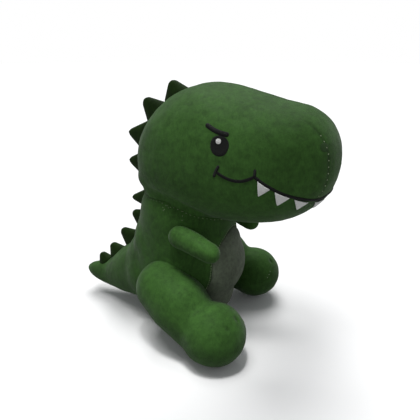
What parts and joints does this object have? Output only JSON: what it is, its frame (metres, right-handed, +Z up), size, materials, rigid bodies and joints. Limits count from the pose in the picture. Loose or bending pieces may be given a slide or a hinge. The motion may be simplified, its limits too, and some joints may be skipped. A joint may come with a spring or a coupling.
{
  "type": "stuffed dinosaur",
  "caption": "Seated plush dinosaur with a large head that nods and turns, swinging arms, lifting legs, a wagging tail, felt teeth and a row of back spikes.",
  "frame": {"origin": "a point on the flat seat, in the middle plane, below the front of the neck", "axes": "+Z up; the toy faces -Y, so +Y runs towards the tail; +X is the toy's own left"},
  "size_m": [0.187, 0.2835, 0.2493],
  "materials": {
    "green_pile": "short dark green pile, soft sheen",
    "belly_fabric": "brushed grey fabric",
    "spike_fabric": "darker green brushed fabric",
    "tooth_felt": "white felt",
    "black_thread": "black satin stitch",
    "pale_thread": "pale satin stitch",
    "stuffing": "white polyester fibre",
    "pouch_cloth": "plain woven cotton",
    "pellets": "plastic pellets"
  },
  "bodies": {
    "body": {"belly_panel": "belly_fabric", "body_panel_left": "green_pile", "body_panel_right": "green_pile", "body_stuffing": "stuffing", "pellet_pouch": "pouch_cloth", "pellets": "pellets", "seat_panel": "green_pile", "spike_5": "spike_fabric", "spike_6": "spike_fabric", "spike_7": "spike_fabric"},
    "neck": {"neck_stuffing": "stuffing"},
    "head": {"brow_left": "black_thread", "brow_right": "black_thread", "eye_glint_left": "pale_thread", "eye_glint_right": "pale_thread", "eye_left": "black_thread", "eye_right": "black_thread", "head_panel_left": "green_pile", "head_panel_right": "green_pile", "head_stuffing": "stuffing", "mouth_line_left": "black_thread", "mouth_line_right": "black_thread", "muzzle_panel": "green_pile", "nostril_left": "black_thread", "nostril_right": "black_thread", "spike_1": "spike_fabric", "spike_2": "spike_fabric", "spike_3": "spike_fabric", "spike_4": "spike_fabric", "tooth_1_left": "tooth_felt", "tooth_1_right": "tooth_felt", "tooth_2_left": "tooth_felt", "tooth_2_right": "tooth_felt", "tooth_3_left": "tooth_felt", "tooth_3_right": "tooth_felt", "tooth_4_left": "tooth_felt", "tooth_4_right": "tooth_felt"},
    "arm_left": {"arm_inner_panel_left": "green_pile", "arm_outer_panel_left": "green_pile", "arm_stuffing_left": "stuffing"},
    "arm_right": {"arm_inner_panel_right": "green_pile", "arm_outer_panel_right": "green_pile", "arm_stuffing_right": "stuffing"},
    "leg_left": {"leg_inner_panel_left": "green_pile", "leg_outer_panel_left": "green_pile", "leg_stuffing_left": "stuffing"},
    "leg_right": {"leg_inner_panel_right": "green_pile", "leg_outer_panel_right": "green_pile", "leg_stuffing_right": "stuffing"},
    "tail": {"spike_8": "spike_fabric", "spike_9": "spike_fabric", "tail_panel_left": "green_pile", "tail_panel_right": "green_pile", "tail_stuffing": "stuffing"}
  },
  "joints": [
    {"name": "head_turn", "type": "hinge", "parent": "body", "child": "neck", "pos_m": [0, 0.0025, 0.12], "axis": [0, 0, 1], "range_deg": [-20, 20], "stiffness_Nm_per_rad": 2},
    {"name": "head_nod", "type": "hinge", "parent": "neck", "child": "head", "pos_m": [0, 0.0025, 0.12], "axis": [1, 0, 0], "range_deg": [-6, 8], "stiffness_Nm_per_rad": 3, "springref_deg": -1.15},
    {"name": "arm_left_swing", "type": "hinge", "parent": "body", "child": "arm_left", "pos_m": [0.051, -0.012, 0.113], "axis": [1, 0, 0], "range_deg": [-10, 20], "stiffness_Nm_per_rad": 0.02},
    {"name": "arm_right_swing", "type": "hinge", "parent": "body", "child": "arm_right", "pos_m": [-0.051, -0.012, 0.113], "axis": [1, 0, 0], "range_deg": [-10, 20], "stiffness_Nm_per_rad": 0.02},
    {"name": "leg_left_lift", "type": "hinge", "parent": "body", "child": "leg_left", "pos_m": [0.049, -0.006, 0.052], "axis": [-1, 0, 0], "range_deg": [-8, 20], "stiffness_Nm_per_rad": 0.5},
    {"name": "leg_right_lift", "type": "hinge", "parent": "body", "child": "leg_right", "pos_m": [-0.049, -0.006, 0.052], "axis": [-1, 0, 0], "range_deg": [-8, 20], "stiffness_Nm_per_rad": 0.5},
    {"name": "tail_wag", "type": "hinge", "parent": "body", "child": "tail", "pos_m": [0, 0.058, 0.042], "axis": [0, 0, 1], "range_deg": [-15, 15], "stiffness_Nm_per_rad": 0.3}
  ]
}
